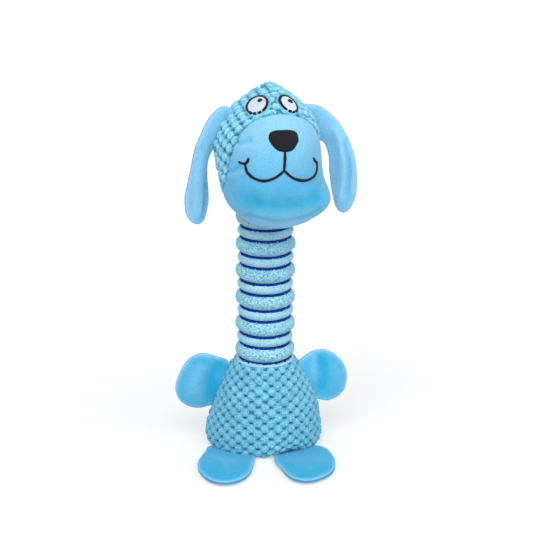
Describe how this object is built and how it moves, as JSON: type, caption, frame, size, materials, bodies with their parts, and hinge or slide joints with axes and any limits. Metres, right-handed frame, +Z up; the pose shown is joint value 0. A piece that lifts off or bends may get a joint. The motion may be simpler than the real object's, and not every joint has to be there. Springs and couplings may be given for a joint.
{
  "type": "squeaky dog toy",
  "caption": "Stuffed dog toy with a coned torso, a long ribbed neck that bends, a soft head with hanging ears, flap arms and feet, and a squeaker inside.",
  "frame": {"origin": "centre of the torso's flat base, on the surface that the toy stands on", "axes": "+Z up along the neck, the toy faces -Y, +X is the toy's own left side"},
  "size_m": [0.1464, 0.1298, 0.2999],
  "materials": {
    "dimple_plush": "minky plush with raised dots",
    "smooth_plush": "short smooth plush",
    "rib_plush": "ribbed plush with a dark blue line in every groove",
    "fibre_fill": "loose polyester fibre",
    "black_thread": "satin stitch",
    "white_thread": "satin stitch",
    "squeaker_plastic": "thin blown plastic",
    "reed_plastic": "thin plastic strip"
  },
  "bodies": {
    "torso": {"torso_front_cover": "dimple_plush", "torso_back_cover": "dimple_plush", "torso_base_panel": "dimple_plush", "torso_stuffing": "fibre_fill", "squeaker_bulb": "squeaker_plastic"},
    "squeaker_top": {"squeaker_whistle": "squeaker_plastic", "squeaker_reed_holder": "squeaker_plastic"},
    "reed": {"squeaker_reed": "reed_plastic"},
    "neck_lower": {"neck_sleeve": "rib_plush", "neck_stuffing_lower": "fibre_fill"},
    "neck_upper": {"neck_stuffing_upper": "fibre_fill"},
    "head": {"head_cover": "dimple_plush", "muzzle_cover": "smooth_plush", "head_stuffing": "fibre_fill", "nose_patch": "black_thread", "mouth_stitching": "black_thread", "left_eye_rim": "black_thread", "left_eye_white": "white_thread", "left_pupil": "black_thread", "right_eye_rim": "black_thread", "right_eye_white": "white_thread", "right_pupil": "black_thread"},
    "left_ear": {"left_ear_front": "smooth_plush", "left_ear_back": "smooth_plush"},
    "left_arm": {"left_arm_front": "smooth_plush", "left_arm_back": "smooth_plush", "left_arm_wadding": "fibre_fill"},
    "left_foot": {"left_foot_top": "smooth_plush", "left_foot_sole": "smooth_plush", "left_foot_wadding": "fibre_fill"},
    "right_ear": {"right_ear_front": "smooth_plush", "right_ear_back": "smooth_plush"},
    "right_arm": {"right_arm_front": "smooth_plush", "right_arm_back": "smooth_plush", "right_arm_wadding": "fibre_fill"},
    "right_foot": {"right_foot_top": "smooth_plush", "right_foot_sole": "smooth_plush", "right_foot_wadding": "fibre_fill"}
  },
  "joints": [
    {"name": "squeaker_press", "type": "slide", "parent": "torso", "child": "squeaker_top", "axis": [0, 0, -1], "range_m": [0, 0.009], "stiffness_N_per_m": 300, "deforming": ["squeaker_bulb"]},
    {"name": "reed_flex", "type": "hinge", "parent": "squeaker_top", "child": "reed", "pos_m": [0, -0.0003, 0.0384], "axis": [-1, 0, 0], "range_deg": [0, 5], "stiffness_Nm_per_rad": 0.0001},
    {"name": "neck_sway", "type": "hinge", "parent": "torso", "child": "neck_lower", "pos_m": [0, 0, 0.08], "axis": [0, 1, 0], "range_deg": [-25, 25], "stiffness_Nm_per_rad": 0.8, "deforming": ["neck_sleeve"]},
    {"name": "neck_bend", "type": "hinge", "parent": "neck_lower", "child": "neck_upper", "pos_m": [0, 0, 0.13118], "axis": [1, 0, 0], "range_deg": [-25, 25], "stiffness_Nm_per_rad": 0.8},
    {"name": "head_turn", "type": "hinge", "parent": "neck_upper", "child": "head", "pos_m": [0, 0, 0.2134], "axis": [0, 0, 1], "range_deg": [-40, 40], "stiffness_Nm_per_rad": 0.3},
    {"name": "left_ear_flop", "type": "hinge", "parent": "head", "child": "left_ear", "pos_m": [0.03658, 0.00691, 0.2759], "axis": [0, -1, 0], "range_deg": [-3, 65], "stiffness_Nm_per_rad": 0.01},
    {"name": "right_ear_flop", "type": "hinge", "parent": "head", "child": "right_ear", "pos_m": [-0.031, -0.00994, 0.2759], "axis": [-0.4695, 0.8829, 0], "range_deg": [-3, 65], "stiffness_Nm_per_rad": 0.01},
    {"name": "left_arm_swing", "type": "hinge", "parent": "torso", "child": "left_arm", "pos_m": [0.03405, 0, 0.051], "axis": [0.4267, 0, -0.9044], "range_deg": [-15, 70], "stiffness_Nm_per_rad": 0.02},
    {"name": "right_arm_swing", "type": "hinge", "parent": "torso", "child": "right_arm", "pos_m": [-0.03405, 0, 0.051], "axis": [0.4267, 0, 0.9044], "range_deg": [-40, 40], "stiffness_Nm_per_rad": 0.02},
    {"name": "left_foot_fold", "type": "hinge", "parent": "torso", "child": "left_foot", "pos_m": [0.029, -0.03065, 0.0031], "axis": [-0.9976, -0.0698, 0], "range_deg": [0, 45]},
    {"name": "right_foot_fold", "type": "hinge", "parent": "torso", "child": "right_foot", "pos_m": [-0.029, -0.03065, 0.0031], "axis": [-0.9976, 0.0698, 0], "range_deg": [0, 45]}
  ]
}
